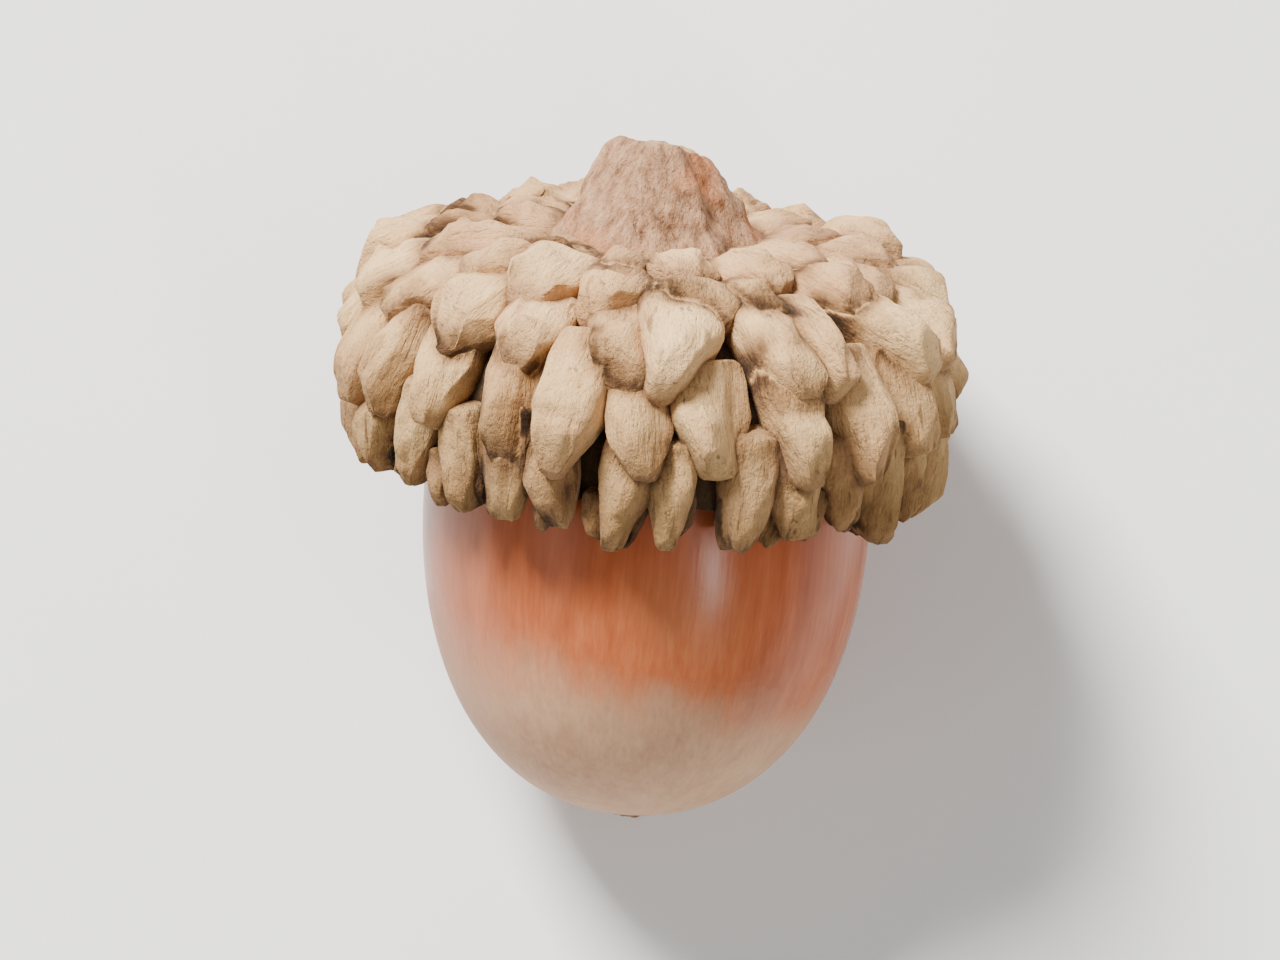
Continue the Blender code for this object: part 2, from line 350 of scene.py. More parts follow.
def get_points(mesh):
    points = np.empty(len(mesh.vertices) * 3)
    mesh.vertices.foreach_get("co", points)
    return points.reshape(-1, 3)


def get_normals(mesh):
    normals = np.empty(len(mesh.vertices) * 3)
    mesh.vertex_normals.foreach_get("vector", normals)
    return normals.reshape(-1, 3)


def set_points(mesh, points):
    mesh.vertices.foreach_set("co", np.ascontiguousarray(points).ravel())
    mesh.update()


def store(mesh, name, values):
    kind, key = ("FLOAT", "value") if values.ndim == 1 else ("FLOAT_VECTOR", "vector")
    attribute = mesh.attributes.new(name, kind, "POINT")
    attribute.data.foreach_set(key, values.astype(np.float32).ravel())


def smoothstep(low, high, values):
    share = np.clip((values - low) / (high - low), 0.0, 1.0)
    return share * share * (3 - 2 * share)


def noise_at(points, size, seed):
    """Smooth noise between about -1 and 1, with features of the given size in millimetres."""
    shift = Vector((seed * 17.3, seed * 5.1, seed * 29.7))
    return np.array([noise.noise(Vector(point) / size + shift) for point in points])


def neighbour_mean(mesh, values, rounds):
    """Values smoothed along the mesh's edges."""
    edges = np.empty(len(mesh.edges) * 2, dtype=np.int32)
    mesh.edges.foreach_get("vertices", edges)
    a, b = edges.reshape(-1, 2).T
    count = np.bincount(a, minlength=len(values)) + np.bincount(b, minlength=len(values))
    for _ in range(rounds):
        total = np.bincount(a, values[b], len(values)) + np.bincount(b, values[a], len(values))
        values = 0.5 * values + 0.5 * total / np.maximum(count, 1)
    return values


def open_sky(tree, points, normals):
    """For each point, how much of the space above it is free within a short reach."""
    golden = math.pi * (3 - math.sqrt(5))
    rays = []
    for i in range(SKY_RAYS):
        lift = math.sqrt(1 - (i + 0.5) / SKY_RAYS)
        flat = math.sqrt(1 - lift * lift)
        rays.append((flat * math.cos(i * golden), flat * math.sin(i * golden), lift))
    helper = np.where(np.abs(normals[:, 2:3]) < 0.9, [[0.0, 0.0, 1.0]], [[1.0, 0.0, 0.0]])
    side = np.cross(helper, normals)
    side /= np.linalg.norm(side, axis=1, keepdims=True)
    other = np.cross(normals, side)
    starts = points + SKY_START * normals
    free = np.zeros(len(points))
    for x, y, z in rays:
        ways = x * side + y * other + z * normals
        for index, (start, way) in enumerate(zip(starts, ways)):
            hit = tree.ray_cast(start, way, SKY_REACH)[3]
            free[index] += 1.0 if hit is None else hit / SKY_REACH
    return free / SKY_RAYS


def chipped(top, across, along, draw):
    """Cuts a scale's back with flat faces: two beside its keel, one at its tip, and some at corners."""
    keel = draw.uniform(*KEEL_PLACE)
    ridge = draw.uniform(*KEEL_HEIGHT)
    planes = [
        ridge + draw.uniform(*KEEL_SLOPE) * (across - keel),
        ridge - draw.uniform(*KEEL_SLOPE) * (across - keel),
        1.0 - draw.uniform(*TIP_CUT_SLOPE) * (along - draw.uniform(*TIP_CUT_PLACE)),
    ]
    for _ in range(CORNER_CUTS):
        way = draw.uniform(0.0, 2 * math.pi)
        reach = across * math.cos(way) + along * math.sin(way)
        planes.append(1.0 - draw.uniform(*CORNER_CUT_SLOPE) * (reach - draw.uniform(*CORNER_CUT_PLACE)))
    for plane in planes:
        plane = np.maximum(plane, LOWEST_CUT)
        share = np.clip(0.5 + 0.5 * (plane - top) / EDGE_WEAR, 0.0, 1.0)
        top = plane + (top - plane) * share - EDGE_WEAR * share * (1 - share)
    return np.maximum(top, 0.0)


def scale_skin(scale, number, fusion):
    """One scale in fine: a sunk root, a block-like back cut by flat faces, and a blunt wedge for a tip.

    Fusion runs from 0, where dark gaps part the scales, to 1, where they have grown together.
    """
    draw = random.Random(1000 + number)
    upper = np.radians(np.linspace(192.0, -12.0, TOP_SIDES))
    under = np.radians(np.linspace(-12.0, -168.0, UNDER_SIDES + 2)[1:-1])
    turns = np.concatenate((upper, under))
    steps = np.arange(1, SCALE_RINGS) / SCALE_RINGS
    shares = 0.5 * steps + 0.25 * (1 - np.cos(math.pi * steps))
    share, turn = np.meshgrid(shares, turns, indexing="ij")
    cosine = np.cos(turn)
    sine = np.sin(turn)
    ends = np.abs(2 * share - 1)
    shoulder = draw.uniform(*SHOULDER_PLACE)
    tip = draw.uniform(*TIP_WIDTH) + FUSED_TIP_WIDTH * fusion
    wedge = 1 - (1 - tip) * np.maximum(share - shoulder, 0.0) / (1 - shoulder)
    block = (1 - ends ** END_FULLNESS) ** (1 / END_FULLNESS)
    breadth = GAP_SHARE + (FUSED_SHARE - GAP_SHARE) * fusion
    across = breadth * wedge * block * np.sign(cosine) * np.abs(cosine) ** BLOCK_SQUARENESS
    rise = ROOT_RISE + (1 - ROOT_RISE) * smoothstep(0.1, 0.7, share)
    groove_at = draw.uniform(*GROOVE_PLACE)
    groove_depth = draw.choice((0.0, 0.0, FUSED_GROOVE_DEPTH * fusion, GROOVE_DEPTH))
    groove = groove_depth * np.exp(-((share - groove_at) / CREASE_WIDTH) ** 2)
    back = block * rise * (1 - groove) * np.maximum(sine, 0.0) ** BLOCK_SQUARENESS
    back = np.where(sine > 0, chipped(back, across, 2 * share - 1, draw), 0.0)
    for _ in range(2):
        seam = draw.uniform(*SEAM_PLACE) + draw.uniform(*SEAM_SLANT) * share
        crease = draw.uniform(*SEAM_DEPTH) * np.exp(-((across - seam) / CREASE_WIDTH) ** 2)
        back = back - crease * (sine > 0) * block
    belly = block * (1 - 0.5 * share) * np.minimum(sine, 0.0)
    bend = draw.uniform(*BEND) * scale.width
    x = 0.5 * scale.width * across + bend * share ** 2
    y = scale.length * (share - 0.5)
    z = scale.height * back + SCALE_ROOT_DEPTH * belly
    rings = np.stack((x, y, z), axis=-1).reshape(-1, 3)
    local = np.vstack(([(0.0, -0.5 * scale.length, 0.0)], rings, [(bend, 0.5 * scale.length, 0.0)]))
    frame_matrix = np.array(scale.frame)
    points = keep_clear_of_nut(local @ frame_matrix[:3, :3].T + frame_matrix[:3, 3])
    marks = {
        "tint": np.full(len(points), draw.random()),
        "fusion": np.full(len(points), fusion),
        "stub": np.zeros(len(points)),
        "broken": np.zeros(len(points)),
        "inside": np.zeros(len(points)),
        "grain": local * (1.0, 0.16, 1.0) + (0.0, 0.0, 7.7 * number),
    }
    return Skin(points, closed_rings(TOP_SIDES + UNDER_SIDES, SCALE_RINGS), marks)


def keep_clear_of_nut(points):
    """Presses points that would stand in the cup's hollow out into its wall."""
    reach = np.hypot(points[:, 0], points[:, 1])
    least = np.array([hollow_radius(height) for height in points[:, 2]]) + HOLLOW_CLEARANCE
    stretch = np.where((reach < least) & (reach > 0.5 * NUT_RADIUS), least / reach, 1.0)
    return points * np.column_stack((stretch, stretch, np.ones(len(points))))


def stub_skin():
    """The broken stalk: the solids' ridges, cut by flat faces. The last face is its torn end."""
    draw = random.Random(SCALE_SEED)
    ridges = [(waves, draw.uniform(0.0, 2 * math.pi)) for waves in STUB_RIDGE_WAVES]
    shares = 0.5 + 0.5 * np.cos(math.pi * np.arange(1, STUB_RINGS) / STUB_RINGS)
    turns = 2 * math.pi * np.arange(STUB_SIDES) / STUB_SIDES
    share, turn = np.meshgrid(shares, turns, indexing="ij")
    swell = (1 - np.abs(2 * share - 1) ** STUB_FULLNESS) ** (1 / STUB_FULLNESS)
    radius = STUB_TOP_RADIUS + (STUB_FOOT_RADIUS - STUB_TOP_RADIUS) * (1 - share)
    ridge = sum(np.cos(waves * turn + start) for waves, start in ridges)
    height = STUB_ROOT + (STUB_TOP - STUB_ROOT) * share
    flare = STUB_FLARE * np.exp(-np.maximum(height - CUP_CROWN, 0.0) / STUB_FLARE_HEIGHT)
    radius = radius * swell * (1 + STUB_RIDGE_DEPTH * ridge) + flare * np.sin(0.5 * math.pi * swell)
    x = radius * np.cos(turn) - STUB_LEAN * share
    y = radius * np.sin(turn)
    rings = np.stack((x, y, height), axis=-1).reshape(-1, 3)
    points = np.vstack(([(-STUB_LEAN, 0.0, STUB_TOP)], rings, [(0.0, 0.0, STUB_ROOT)]))
    for normal, distance in STUB_FACES:
        normal = np.array(normal) / np.linalg.norm(normal)
        beyond = np.maximum((points - STUB_HEART) @ normal - distance, 0.0)
        points = points - STUB_FACE_FLATNESS * beyond[:, None] * normal
    marks = {
        "tint": np.full(len(points), 0.5),
        "fusion": np.ones(len(points)),
        "stub": np.ones(len(points)),
        "broken": smoothstep(0.02, 0.15, beyond),
        "inside": np.zeros(len(points)),
        "grain": points * (1.0, 1.0, 0.12) + (0.0, 0.0, 500.0),
    }
    return Skin(points, closed_rings(STUB_SIDES, STUB_RINGS), marks)


def nut_base_radius(height):
    offset = abs((height - NUT_WIDEST) / NUT_BASE_REACH)
    return NUT_RADIUS * (1 - offset ** NUT_BASE_FULLNESS) ** (1 / NUT_BASE_FULLNESS)


def hollow_radius(height):
    """The radius of the hollow that the nut sits in. It runs on straight below the rim."""
    if height >= SCAR_HEIGHT + SEAT_GAP:
        return 0.0
    share = math.acos(max(height - SEAT_GAP, 0.0) / SCAR_HEIGHT) / (0.5 * math.pi)
    return nut_base_radius(max(height - SEAT_GAP, 0.0)) + SEAT_GAP + (RIM_GAP - SEAT_GAP) * share


def wall_skin():
    """The cup's bowl, sunk a little below the scales' roots, with a rounded rim and its lining."""
    outer = [
        tuple(cup_wall_point(i / WALL_STEPS, WALL_RECESS, RIM_RECESS))
        for i in range(WALL_RINGS + 1)
    ]
    rim_inside = hollow_radius(0.0)
    middle = 0.5 * (outer[-1][0] + rim_inside)
    rim_edge = outer[-1][1]
    rim = [(middle + across, rim_edge - drop) for across, drop in RIM_ROUNDING]
    lining_top = SCAR_HEIGHT + SEAT_GAP
    span = lining_top - rim_edge
    heights = [
        rim_edge + span * math.sin(0.5 * math.pi * i / LINING_RINGS)
        for i in range(1, LINING_RINGS)
    ]
    lining = [(rim_inside, rim_edge)] + [(hollow_radius(height), height) for height in heights]
    seat_radius = hollow_radius(lining_top - 0.001)
    scar = [
        (seat_radius * (1 - i / SEAT_RINGS), lining_top + SCAR_BULGE * i / SEAT_RINGS)
        for i in range(SEAT_RINGS + 1)
    ]
    points, faces = turned(outer + rim + lining + scar, CUP_SIDES)
    # The wall and rim take the lining's colour as painted shade in the gaps between the scales; the lining
    # takes its own
    lining_and_painted_shade = [WALL_PAINTED_SHADE] * WALL_RINGS + [RIM_PAINTED_SHADE] * len(rim)
    lining_and_painted_shade += [1.0] * (len(lining) + SEAT_RINGS)
    marks = {
        "tint": np.full(len(points), 0.3),
        "fusion": np.zeros(len(points)),
        "stub": np.zeros(len(points)),
        "broken": np.zeros(len(points)),
        "inside": np.concatenate(([0.0], np.repeat(lining_and_painted_shade, CUP_SIDES), [1.0])),
        "grain": points * (1.0, 1.0, 0.22) + (0.0, 0.0, 600.0),
    }
    return Skin(points, faces, marks)


def lay_down(thing):
    """Takes a piece from the upright frame in millimetres to its place on the surface, in metres."""
    turn = Matrix.Rotation(TILT - math.pi / 2, 4, "X")
    matrix = np.array(Matrix.Translation(RIM_CENTRE) @ turn @ Matrix.Scale(0.001, 4))
    points = get_points(thing.data) @ matrix[:3, :3].T + matrix[:3, 3]
    points[:, 2] = np.maximum(points[:, 2], 0.0)
    set_points(thing.data, points)
    thing.data.shade_smooth()


def roughen(piece, marks):
    """Wrinkles along the grain and small lumps, on everything but the lining."""
    points = get_points(piece.data)
    outside = 1 - smoothstep(0.93, 1.0, marks["inside"])
    wood = marks["stub"]
    wrinkles = noise_at(marks["grain"], 0.5, 3) + 0.5 * noise_at(marks["grain"], 0.22, 4)
    lumps = noise_at(points, 1.3, 1) + 0.5 * noise_at(points, 0.55, 2)
    knobs = noise_at(points, 1.9, 5) + 0.8 * noise_at(points, 0.95, 6)
    push = (WRINKLE_DEPTH + WOOD_WRINKLE_DEPTH * wood) * wrinkles + LUMP_DEPTH * lumps
    push += KNOB_DEPTH * marks["fusion"] * knobs
    push *= outside
    set_points(piece.data, points + push[:, None] * get_normals(piece.data))


def make_cup():
    """The cup in four pieces: the wall with its stub, and the scales at the rim, the side and the crown."""
    rows = scale_layout()
    numbers = iter(range(1000))
    skins = [
        [scale_skin(scale, next(numbers), fusion) for scale in scales]
        for scales, fusion in zip(rows, ROW_FUSION)
    ]
    pieces = [
        new_piece("cup_wall", [wall_skin(), stub_skin()]),
        new_piece("rim_scales", skins[0] + skins[5]),
        new_piece("side_scales", skins[1] + skins[2]),
        new_piece("crown_scales", skins[3] + skins[4]),
    ]
    for piece, marks in pieces:
        roughen(piece, marks)
    corners = []
    faces = []
    for piece, marks in pieces:
        faces += [tuple(len(corners) + corner for corner in face.vertices) for face in piece.data.polygons]
        corners += [tuple(point) for point in get_points(piece.data)]
    tree = BVHTree.FromPolygons(corners, faces)
    for piece, marks in pieces:
        mesh = piece.data
        # Openness to the sky, for the shade painted into crevices; scales that have grown together count a
        # little more open
        sky = open_sky(tree, get_points(mesh), get_normals(mesh)) + FUSED_SKY * marks["fusion"]
        marks["sky"] = neighbour_mean(mesh, sky, 1)
        marks["low"] = smoothstep(*LOW_BAND, get_points(mesh)[:, 2])
        for name, values in marks.items():
            store(mesh, name, values)
    return [piece for piece, marks in pieces]


def nut_profile():
    """The nut's outline from the scar to the umbo's pit, as (radius, height) points."""
    points = [(0.0, SCAR_HEIGHT + SCAR_BULGE)]
    scar_radius = nut_base_radius(SCAR_HEIGHT)
    for i in range(1, SCAR_RINGS):
        share = i / SCAR_RINGS
        points.append((scar_radius * share, SCAR_HEIGHT + SCAR_BULGE * (1 - share * share)))
    for i in range(BODY_RINGS):
        share = math.sin(0.5 * math.pi * (1 - i / BODY_RINGS))
        height = NUT_WIDEST + share * (SCAR_HEIGHT - NUT_WIDEST)
        points.append((nut_base_radius(height), height))
    umbo_turn = math.acos((UMBO_RADIUS / NUT_RADIUS) ** (NUT_TIP_FULLNESS / 2))
    for i in range(BODY_RINGS + 1):
        turn = umbo_turn * i / BODY_RINGS
        radius = NUT_RADIUS * math.cos(turn) ** (2 / NUT_TIP_FULLNESS)
        height = NUT_WIDEST - NUT_TIP_REACH * math.sin(turn) ** (2 / NUT_TIP_FULLNESS)
        points.append((radius, height))
    shoulder = points[-1][1]
    point_radius, umbo_height = UMBO_STEPS[-1]
    radii, drops = zip(*reversed(UMBO_STEPS))
    for i in range(1, UMBO_RINGS + 1):
        radius = UMBO_RADIUS + (point_radius - UMBO_RADIUS) * i / UMBO_RINGS
        points.append((radius, shoulder - float(np.interp(radius, radii, drops))))
    points.append((0.55 * point_radius, shoulder - umbo_height + 0.6 * UMBO_PIT))
    points.append((0.0, shoulder - umbo_height + UMBO_PIT))
    return points


def make_nut():
    nut = new_object("nut_shell", *turned(nut_profile(), NUT_SIDES))
    points = get_points(nut.data)
    reach = np.hypot(points[:, 0], points[:, 1])
    turn = np.arctan2(points[:, 1], points[:, 0])
    height = points[:, 2]
    store(nut.data, "height", height)
    store(nut.data, "reach", reach)
    wall = np.column_stack((np.cos(turn), np.sin(turn)))
    grain = np.column_stack((wall * 9.0, height * RIB_STRETCH))
    ribs = noise_at(grain, RIB_SIZE, 7)
    dents = noise_at(points, DENT_SIZE, 8)
    body = smoothstep(1.5, 3.0, reach)
    umbo = smoothstep(1.9, 1.4, reach) * (height < 0)
    push = body * (RIB_DEPTH * ribs + DENT_DEPTH * dents)
    push += umbo * FLAKE_DEPTH * noise_at(points, FLAKE_SIZE, 9)
    set_points(nut.data, points + push[:, None] * get_normals(nut.data))
    skew = Matrix.Rotation(NUT_SKEW, 4, "Y")
    seat = Vector((0.0, 0.0, SCAR_HEIGHT))
    nut.data.transform(Matrix.Translation(seat) @ skew @ Matrix.Translation(-seat))
    return nut


class Nodes:
    """A short way to write a material's node tree."""

    def __init__(self, name):
        self.material = bpy.data.materials.new(name)
        self.material.use_nodes = True
        self.tree = self.material.node_tree
        self.shader = self.tree.nodes["Principled BSDF"]

    def link(self, source, target):
        self.tree.links.new(source, target)
        return source

    def attribute(self, name):
        node = self.tree.nodes.new("ShaderNodeAttribute")
        node.attribute_name = name
        return node.outputs["Fac"]

    def vector(self, name):
        node = self.tree.nodes.new("ShaderNodeAttribute")
        node.attribute_name = name
        return node.outputs["Vector"]

    def place(self):
        return self.tree.nodes.new("ShaderNodeTexCoord").outputs["Object"]

    def noise(self, vector, scale, detail=4.0, roughness=0.55):
        node = self.tree.nodes.new("ShaderNodeTexNoise")
        node.inputs["Scale"].default_value = scale
        node.inputs["Detail"].default_value = detail
        node.inputs["Roughness"].default_value = roughness
        self.link(vector, node.inputs["Vector"])
        return node.outputs["Fac"]

    def math(self, operation, a, b, clamp=False):
        node = self.tree.nodes.new("ShaderNodeMath")
        node.operation = operation
        node.use_clamp = clamp
        for value, socket in ((a, node.inputs[0]), (b, node.inputs[1])):
            if isinstance(value, (int, float)):
                socket.default_value = value
            else:
                self.link(value, socket)
        return node.outputs[0]

    def times(self, value, amount):
        return self.math("MULTIPLY", value, amount)

    def swing(self, noise, amount):
        """A noise between 0 and 1 as a swing about zero."""
        return self.times(self.math("SUBTRACT", noise, 0.5), amount)

    def total(self, first, *others):
        for other in others:
            first = self.math("ADD", first, other)
        return first

    def mapping(self, vector, name, values):
        node = self.tree.nodes.new("ShaderNodeMapping")
        node.inputs[name].default_value = values
        self.link(vector, node.inputs["Vector"])
        return node.outputs["Vector"]

    def sideways(self, vector):
        node = self.tree.nodes.new("ShaderNodeSeparateXYZ")
        self.link(vector, node.inputs["Vector"])
        return node.outputs["X"]

    def smooth_range(self, value, low, high):
        """A value that runs softly from 0 at low to 1 at high."""
        node = self.tree.nodes.new("ShaderNodeMapRange")
        node.interpolation_type = "SMOOTHSTEP"
        node.inputs["From Min"].default_value = low
        node.inputs["From Max"].default_value = high
        self.link(value, node.inputs["Value"])
        return node.outputs["Result"]

    def ramp(self, factor, stops):
        """stops: (place, colour) pairs; a number stands for a grey."""
        node = self.tree.nodes.new("ShaderNodeValToRGB")
        elements = node.color_ramp.elements
        while len(elements) < len(stops):
            elements.new(0.5)
        for element, (place, colour) in zip(elements, stops):
            element.position = place
            element.color = (colour,) * 3 + (1.0,) if isinstance(colour, float) else (*colour, 1.0)
        self.link(factor, node.inputs["Fac"])
        return node.outputs["Color"]

    def mix(self, factor, a, b, blend="MIX"):
        node = self.tree.nodes.new("ShaderNodeMix")
        node.data_type = "RGBA"
        node.blend_type = blend
        for value, name in ((factor, "Factor"), (a, "A"), (b, "B")):
            socket = next(s for s in node.inputs if s.name == name and s.enabled)
            if isinstance(value, tuple):
                socket.default_value = (*value, 1.0)
            elif isinstance(value, (int, float)):
                socket.default_value = value
            else:
                self.link(value, socket)
        return next(s for s in node.outputs if s.enabled)

    def bump(self, height, distance, strength=1.0, normal=None):
        node = self.tree.nodes.new("ShaderNodeBump")
        node.inputs["Distance"].default_value = distance
        node.inputs["Strength"].default_value = strength
        self.link(height, node.inputs["Height"])
        if normal:
            self.link(normal, node.inputs["Normal"])
        return node.outputs["Normal"]


def linear(red, green, blue):
    """A colour given as it looks on screen, 0 to 255, in the light's own scale."""
    return tuple(((c / 255 + 0.055) / 1.055) ** 2.4 for c in (red, green, blue))


def cup_material():
    nodes = Nodes("felted scales")
    place = nodes.place()
    grain = nodes.vector("grain")
    sky = nodes.attribute("sky")
    stub = nodes.attribute("stub")
    inside = nodes.attribute("inside")
    streaks = nodes.noise(grain, 2.4, 4.0, 0.65)
    mottle = nodes.noise(place, 900.0, 5.0, 0.6)
    felt = nodes.noise(place, 6500.0, 3.0, 0.7)
    patch = nodes.noise(place, 260.0, 3.0, 0.5)
    hair = nodes.noise(grain, 9.0, 3.0, 0.7)
    # The scales' tone: painted shade in crevices from the sky mark, over their own mottle, streaks, felt
    # and hair
    light = nodes.total(
        sky,
        nodes.swing(mottle, 0.28),
        nodes.swing(streaks, 0.42),
        nodes.swing(felt, 0.18),
        nodes.swing(hair, 0.32),
    )
    scales = nodes.ramp(light, (
        (0.06, linear(50, 36, 24)),
        (0.26, linear(96, 70, 48)),
        (0.46, linear(160, 127, 91)),
        (0.68, linear(206, 171, 127)),
        (0.98, linear(244, 211, 161)),
    ))
    cracks = nodes.ramp(nodes.noise(grain, 3.2, 3.0, 0.55), ((0.3, 1.0), (0.38, 0.0)))
    scales = nodes.mix(nodes.times(cracks, 0.65), scales, linear(108, 84, 58))
    tinted = nodes.mix(nodes.attribute("tint"), linear(255, 246, 228), linear(232, 212, 190))
    scales = nodes.mix(0.75, scales, nodes.mix(1.0, scales, tinted, "MULTIPLY"))
    dimmed = nodes.mix(1.0, scales, linear(194, 188, 176), "MULTIPLY")
    scales = nodes.mix(nodes.attribute("low"), scales, dimmed)
    warm = nodes.ramp(patch, ((0.5, 0.0), (0.72, 1.0)))
    scales = nodes.mix(nodes.times(warm, 0.25), scales, linear(196, 150, 112))
    rosy = nodes.times(nodes.attribute("fusion"), nodes.ramp(patch, ((0.35, 0.05), (0.6, 0.4))))
    rosy = nodes.times(rosy, nodes.ramp(sky, ((0.3, 0.0), (0.6, 1.0))))
    scales = nodes.mix(rosy, scales, linear(206, 158, 122))
    fibres = nodes.noise(grain, 2.1, 5.0, 0.65)
    wood = nodes.total(nodes.times(fibres, 0.8), nodes.times(hair, 0.2))
    bark = nodes.ramp(wood, (
        (0.3, linear(84, 57, 40)),
        (0.42, linear(146, 108, 80)),
        (0.62, linear(194, 152, 118)),
    ))
    rust = nodes.ramp(patch, ((0.46, 0.0), (0.62, 1.0)))
    bark = nodes.mix(nodes.times(rust, 0.7), bark, linear(182, 108, 62))
    bark = nodes.mix(nodes.times(cracks, 0.6), bark, linear(88, 60, 42))
    torn = nodes.ramp(nodes.noise(place, 1500.0, 5.0, 0.7), (
        (0.34, linear(112, 78, 52)),
        (0.5, linear(192, 152, 110)),
        (0.66, linear(226, 194, 150)),
    ))
    bark = nodes.mix(nodes.times(nodes.attribute("broken"), 0.85), bark, torn)
    # Painted shade on the stub where it sinks among the scales
    bark = nodes.mix(nodes.ramp(sky, ((0.25, 1.0), (0.6, 0.0))), bark, linear(76, 52, 36))
    # The lining's own brown darkened to near-black as painted shade of the hollow; the wall and rim take it
    # as painted shade in the gaps
    lining = nodes.ramp(mottle, ((0.3, linear(26, 17, 11)), (0.7, linear(54, 36, 23))))
    colour = nodes.mix(stub, scales, bark)
    colour = nodes.mix(inside, colour, lining)
    nodes.link(colour, nodes.shader.inputs["Base Color"])
    coarse = nodes.bump(nodes.total(streaks, mottle), 0.00024, 0.9)
    hairy = nodes.bump(hair, 0.00012, 0.85, coarse)
    nodes.link(nodes.bump(felt, 0.00007, 0.9, hairy), nodes.shader.inputs["Normal"])
    nodes.shader.inputs["Roughness"].default_value = 0.92
    nodes.shader.inputs["Specular IOR Level"].default_value = 0.1
    nodes.shader.inputs["Sheen Weight"].default_value = 0.03
    nodes.shader.inputs["Sheen Roughness"].default_value = 0.6
    return nodes.material


def nut_material():
    nodes = Nodes("nut shell")
    place = nodes.place()
    height = nodes.attribute("height")
    reach = nodes.attribute("reach")
    upright = nodes.mapping(place, "Rotation", (math.pi / 2 - TILT, 0.0, 0.0))
    grain = nodes.mapping(upright, "Scale", (1.0, 1.0, 0.06))
    streaks = nodes.noise(grain, 1500.0, 4.0, 0.6)
    bands = nodes.noise(grain, 200.0, 2.0, 0.5)
    cloud = nodes.noise(place, 190.0, 3.0, 0.5)
    fine = nodes.noise(place, 2600.0, 3.0, 0.6)
    hairs = nodes.noise(grain, 5200.0, 3.0, 0.7)
    tone = nodes.total(
        nodes.times(streaks, 0.3),
        nodes.times(bands, 0.1),
        nodes.times(cloud, 0.35),
        nodes.times(hairs, 0.25),
    )
    glossy = nodes.ramp(tone, (
        (0.3, linear(150, 70, 38)),
        (0.5, linear(184, 100, 60)),
        (0.7, linear(204, 128, 86)),
    ))
    pale = nodes.ramp(tone, (
        (0.3, linear(166, 120, 90)),
        (0.5, linear(194, 152, 118)),
        (0.7, linear(212, 174, 140)),
    ))
    sideways = nodes.sideways(place)
    edge = nodes.total(
        height,
        nodes.times(sideways, 160.0),
        nodes.swing(cloud, 7.0),
        nodes.swing(streaks, 2.5),
    )
    dull = nodes.smooth_range(edge, -5.6, -9.4)
    stripes = nodes.ramp(nodes.noise(grain, 620.0, 2.0, 0.5), ((0.36, 1.0), (0.47, 0.0)))
    glossy = nodes.mix(nodes.times(stripes, 0.3), glossy, linear(126, 56, 30))
    # Painted shadow of the cup's rim: the nut darker and redder just below it
    near_rim = nodes.times(nodes.math("ADD", height, 5.0), 0.2)
    shade = nodes.ramp(near_rim, ((0.2, 0.0), (0.85, 1.0)))
    glossy = nodes.mix(nodes.times(shade, 0.45), glossy, linear(142, 62, 32))
    # Painted shade: the nut's left flank darker, as if in shade
    painted_shade_left = nodes.ramp(nodes.times(sideways, -100.0), ((0.3, 0.0), (0.85, 1.0)))
    colour = nodes.mix(dull, glossy, pale)
    colour = nodes.mix(nodes.times(painted_shade_left, 0.6), colour, linear(134, 84, 62))
    ragged = nodes.times(nodes.total(reach, nodes.swing(fine, 1.2)), 0.25)
    below = nodes.math("LESS_THAN", height, 0.0)
    umbo = nodes.times(nodes.ramp(ragged, ((0.42, 1.0), (0.5, 0.0))), below)
    rings = nodes.ramp(ragged, (
        (0.12, linear(46, 29, 20)),
        (0.2, linear(98, 66, 45)),
        (0.33, linear(158, 120, 88)),
        (0.43, linear(104, 70, 47)),
    ))
    colour = nodes.mix(umbo, colour, rings)
    above = nodes.math("GREATER_THAN", height, SCAR_HEIGHT - 0.15)
    scar = nodes.ramp(fine, ((0.35, linear(150, 118, 90)), (0.65, linear(196, 166, 134))))
    colour = nodes.mix(above, colour, scar)
    nodes.link(colour, nodes.shader.inputs["Base Color"])
    rough = nodes.total(0.25, nodes.times(dull, 0.32), nodes.swing(streaks, 0.1))
    rough = nodes.math("MAXIMUM", rough, nodes.times(above, 0.9))
    rough = nodes.math("MAXIMUM", rough, nodes.times(umbo, 0.8))
    nodes.link(rough, nodes.shader.inputs["Roughness"])
    relief = nodes.total(nodes.times(hairs, 0.7), nodes.times(fine, 0.5))
    nodes.link(nodes.bump(relief, 0.000016, 0.6), nodes.shader.inputs["Normal"])
    nodes.shader.inputs["IOR"].default_value = 1.45
    nodes.shader.inputs["Specular IOR Level"].default_value = 0.25
    return nodes.material


def floor_material():
    nodes = Nodes("pale floor")
    grain = nodes.noise(nodes.place(), 60.0, 3.0, 0.5)
    nodes.link(nodes.ramp(grain, ((0.3, 0.88), (0.7, 0.91))), nodes.shader.inputs["Base Color"])
    nodes.shader.inputs["Roughness"].default_value = 0.7
    return nodes.material


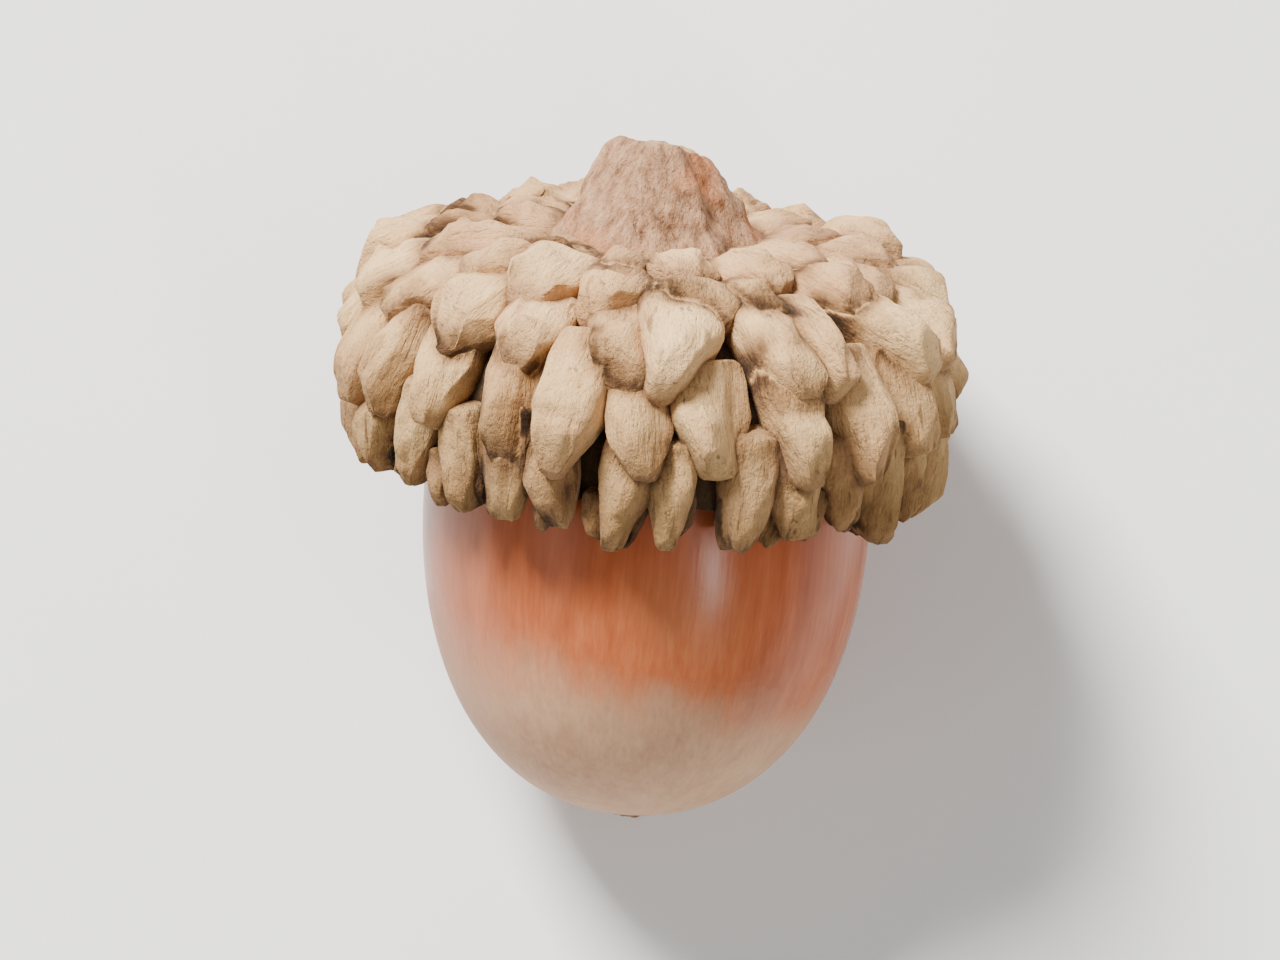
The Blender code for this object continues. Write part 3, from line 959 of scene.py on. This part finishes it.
def make_floor():
    reach = FLOOR_REACH
    corners = [(-reach, -reach, 0.0), (reach, -reach, 0.0), (reach, reach, 0.0), (-reach, reach, 0.0)]
    floor = new_object("floor", corners, [(0, 1, 2, 3)])
    floor.data.materials.append(floor_material())


def area_light(name, azimuth, elevation, distance, size, power, colour):
    """A soft square light that looks at the acorn. Azimuth 0 stands at -Y, 90 at +X."""
    data = bpy.data.lights.new(name, "AREA")
    data.shape = "SQUARE"
    data.size = size
    data.energy = power
    data.color = colour
    light = bpy.data.objects.new(name, data)
    bpy.context.scene.collection.objects.link(light)
    turn = math.radians(azimuth)
    rise = math.radians(elevation)
    way = Vector((math.sin(turn) * math.cos(rise), -math.cos(turn) * math.cos(rise), math.sin(rise)))
    light.location = Vector(LIGHT_TARGET) + distance * way
    light.rotation_euler = way.to_track_quat("Z", "Y").to_euler()


def make_light():
    world = bpy.data.worlds.new("studio")
    bpy.context.scene.world = world
    world.use_nodes = True
    background = world.node_tree.nodes["Background"]
    background.inputs["Color"].default_value = WORLD_COLOUR
    background.inputs["Strength"].default_value = WORLD_STRENGTH
    for light in LIGHTS:
        area_light(*light)


def make_camera():
    """Looks down on the acorn as the photograph does, with the crown towards the top right."""
    azimuth = CAMERA_AZIMUTH
    elevation = CAMERA_ELEVATION
    data = bpy.data.cameras.new("camera")
    data.lens = CAMERA_LENS
    data.clip_start = 0.01
    camera = bpy.data.objects.new("camera", data)
    bpy.context.scene.collection.objects.link(camera)
    way = Vector((
        math.sin(azimuth) * math.cos(elevation),
        -math.cos(azimuth) * math.cos(elevation),
        math.sin(elevation),
    ))
    camera.location = Vector(CAMERA_TARGET) + CAMERA_DISTANCE * way
    camera.rotation_euler = (math.pi / 2 - elevation, 0.0, azimuth)
    bpy.context.scene.camera = camera


def main():
    felted = cup_material()
    for piece in make_cup():
        lay_down(piece)
        piece.data.materials.append(felted)
        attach(piece, "root")
        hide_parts("cap")

    nut = make_nut()
    lay_down(nut)
    nut.data.materials.append(nut_material())
    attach(nut, "root")
    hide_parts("nut")

    make_floor()
    make_light()
    make_camera()


main()
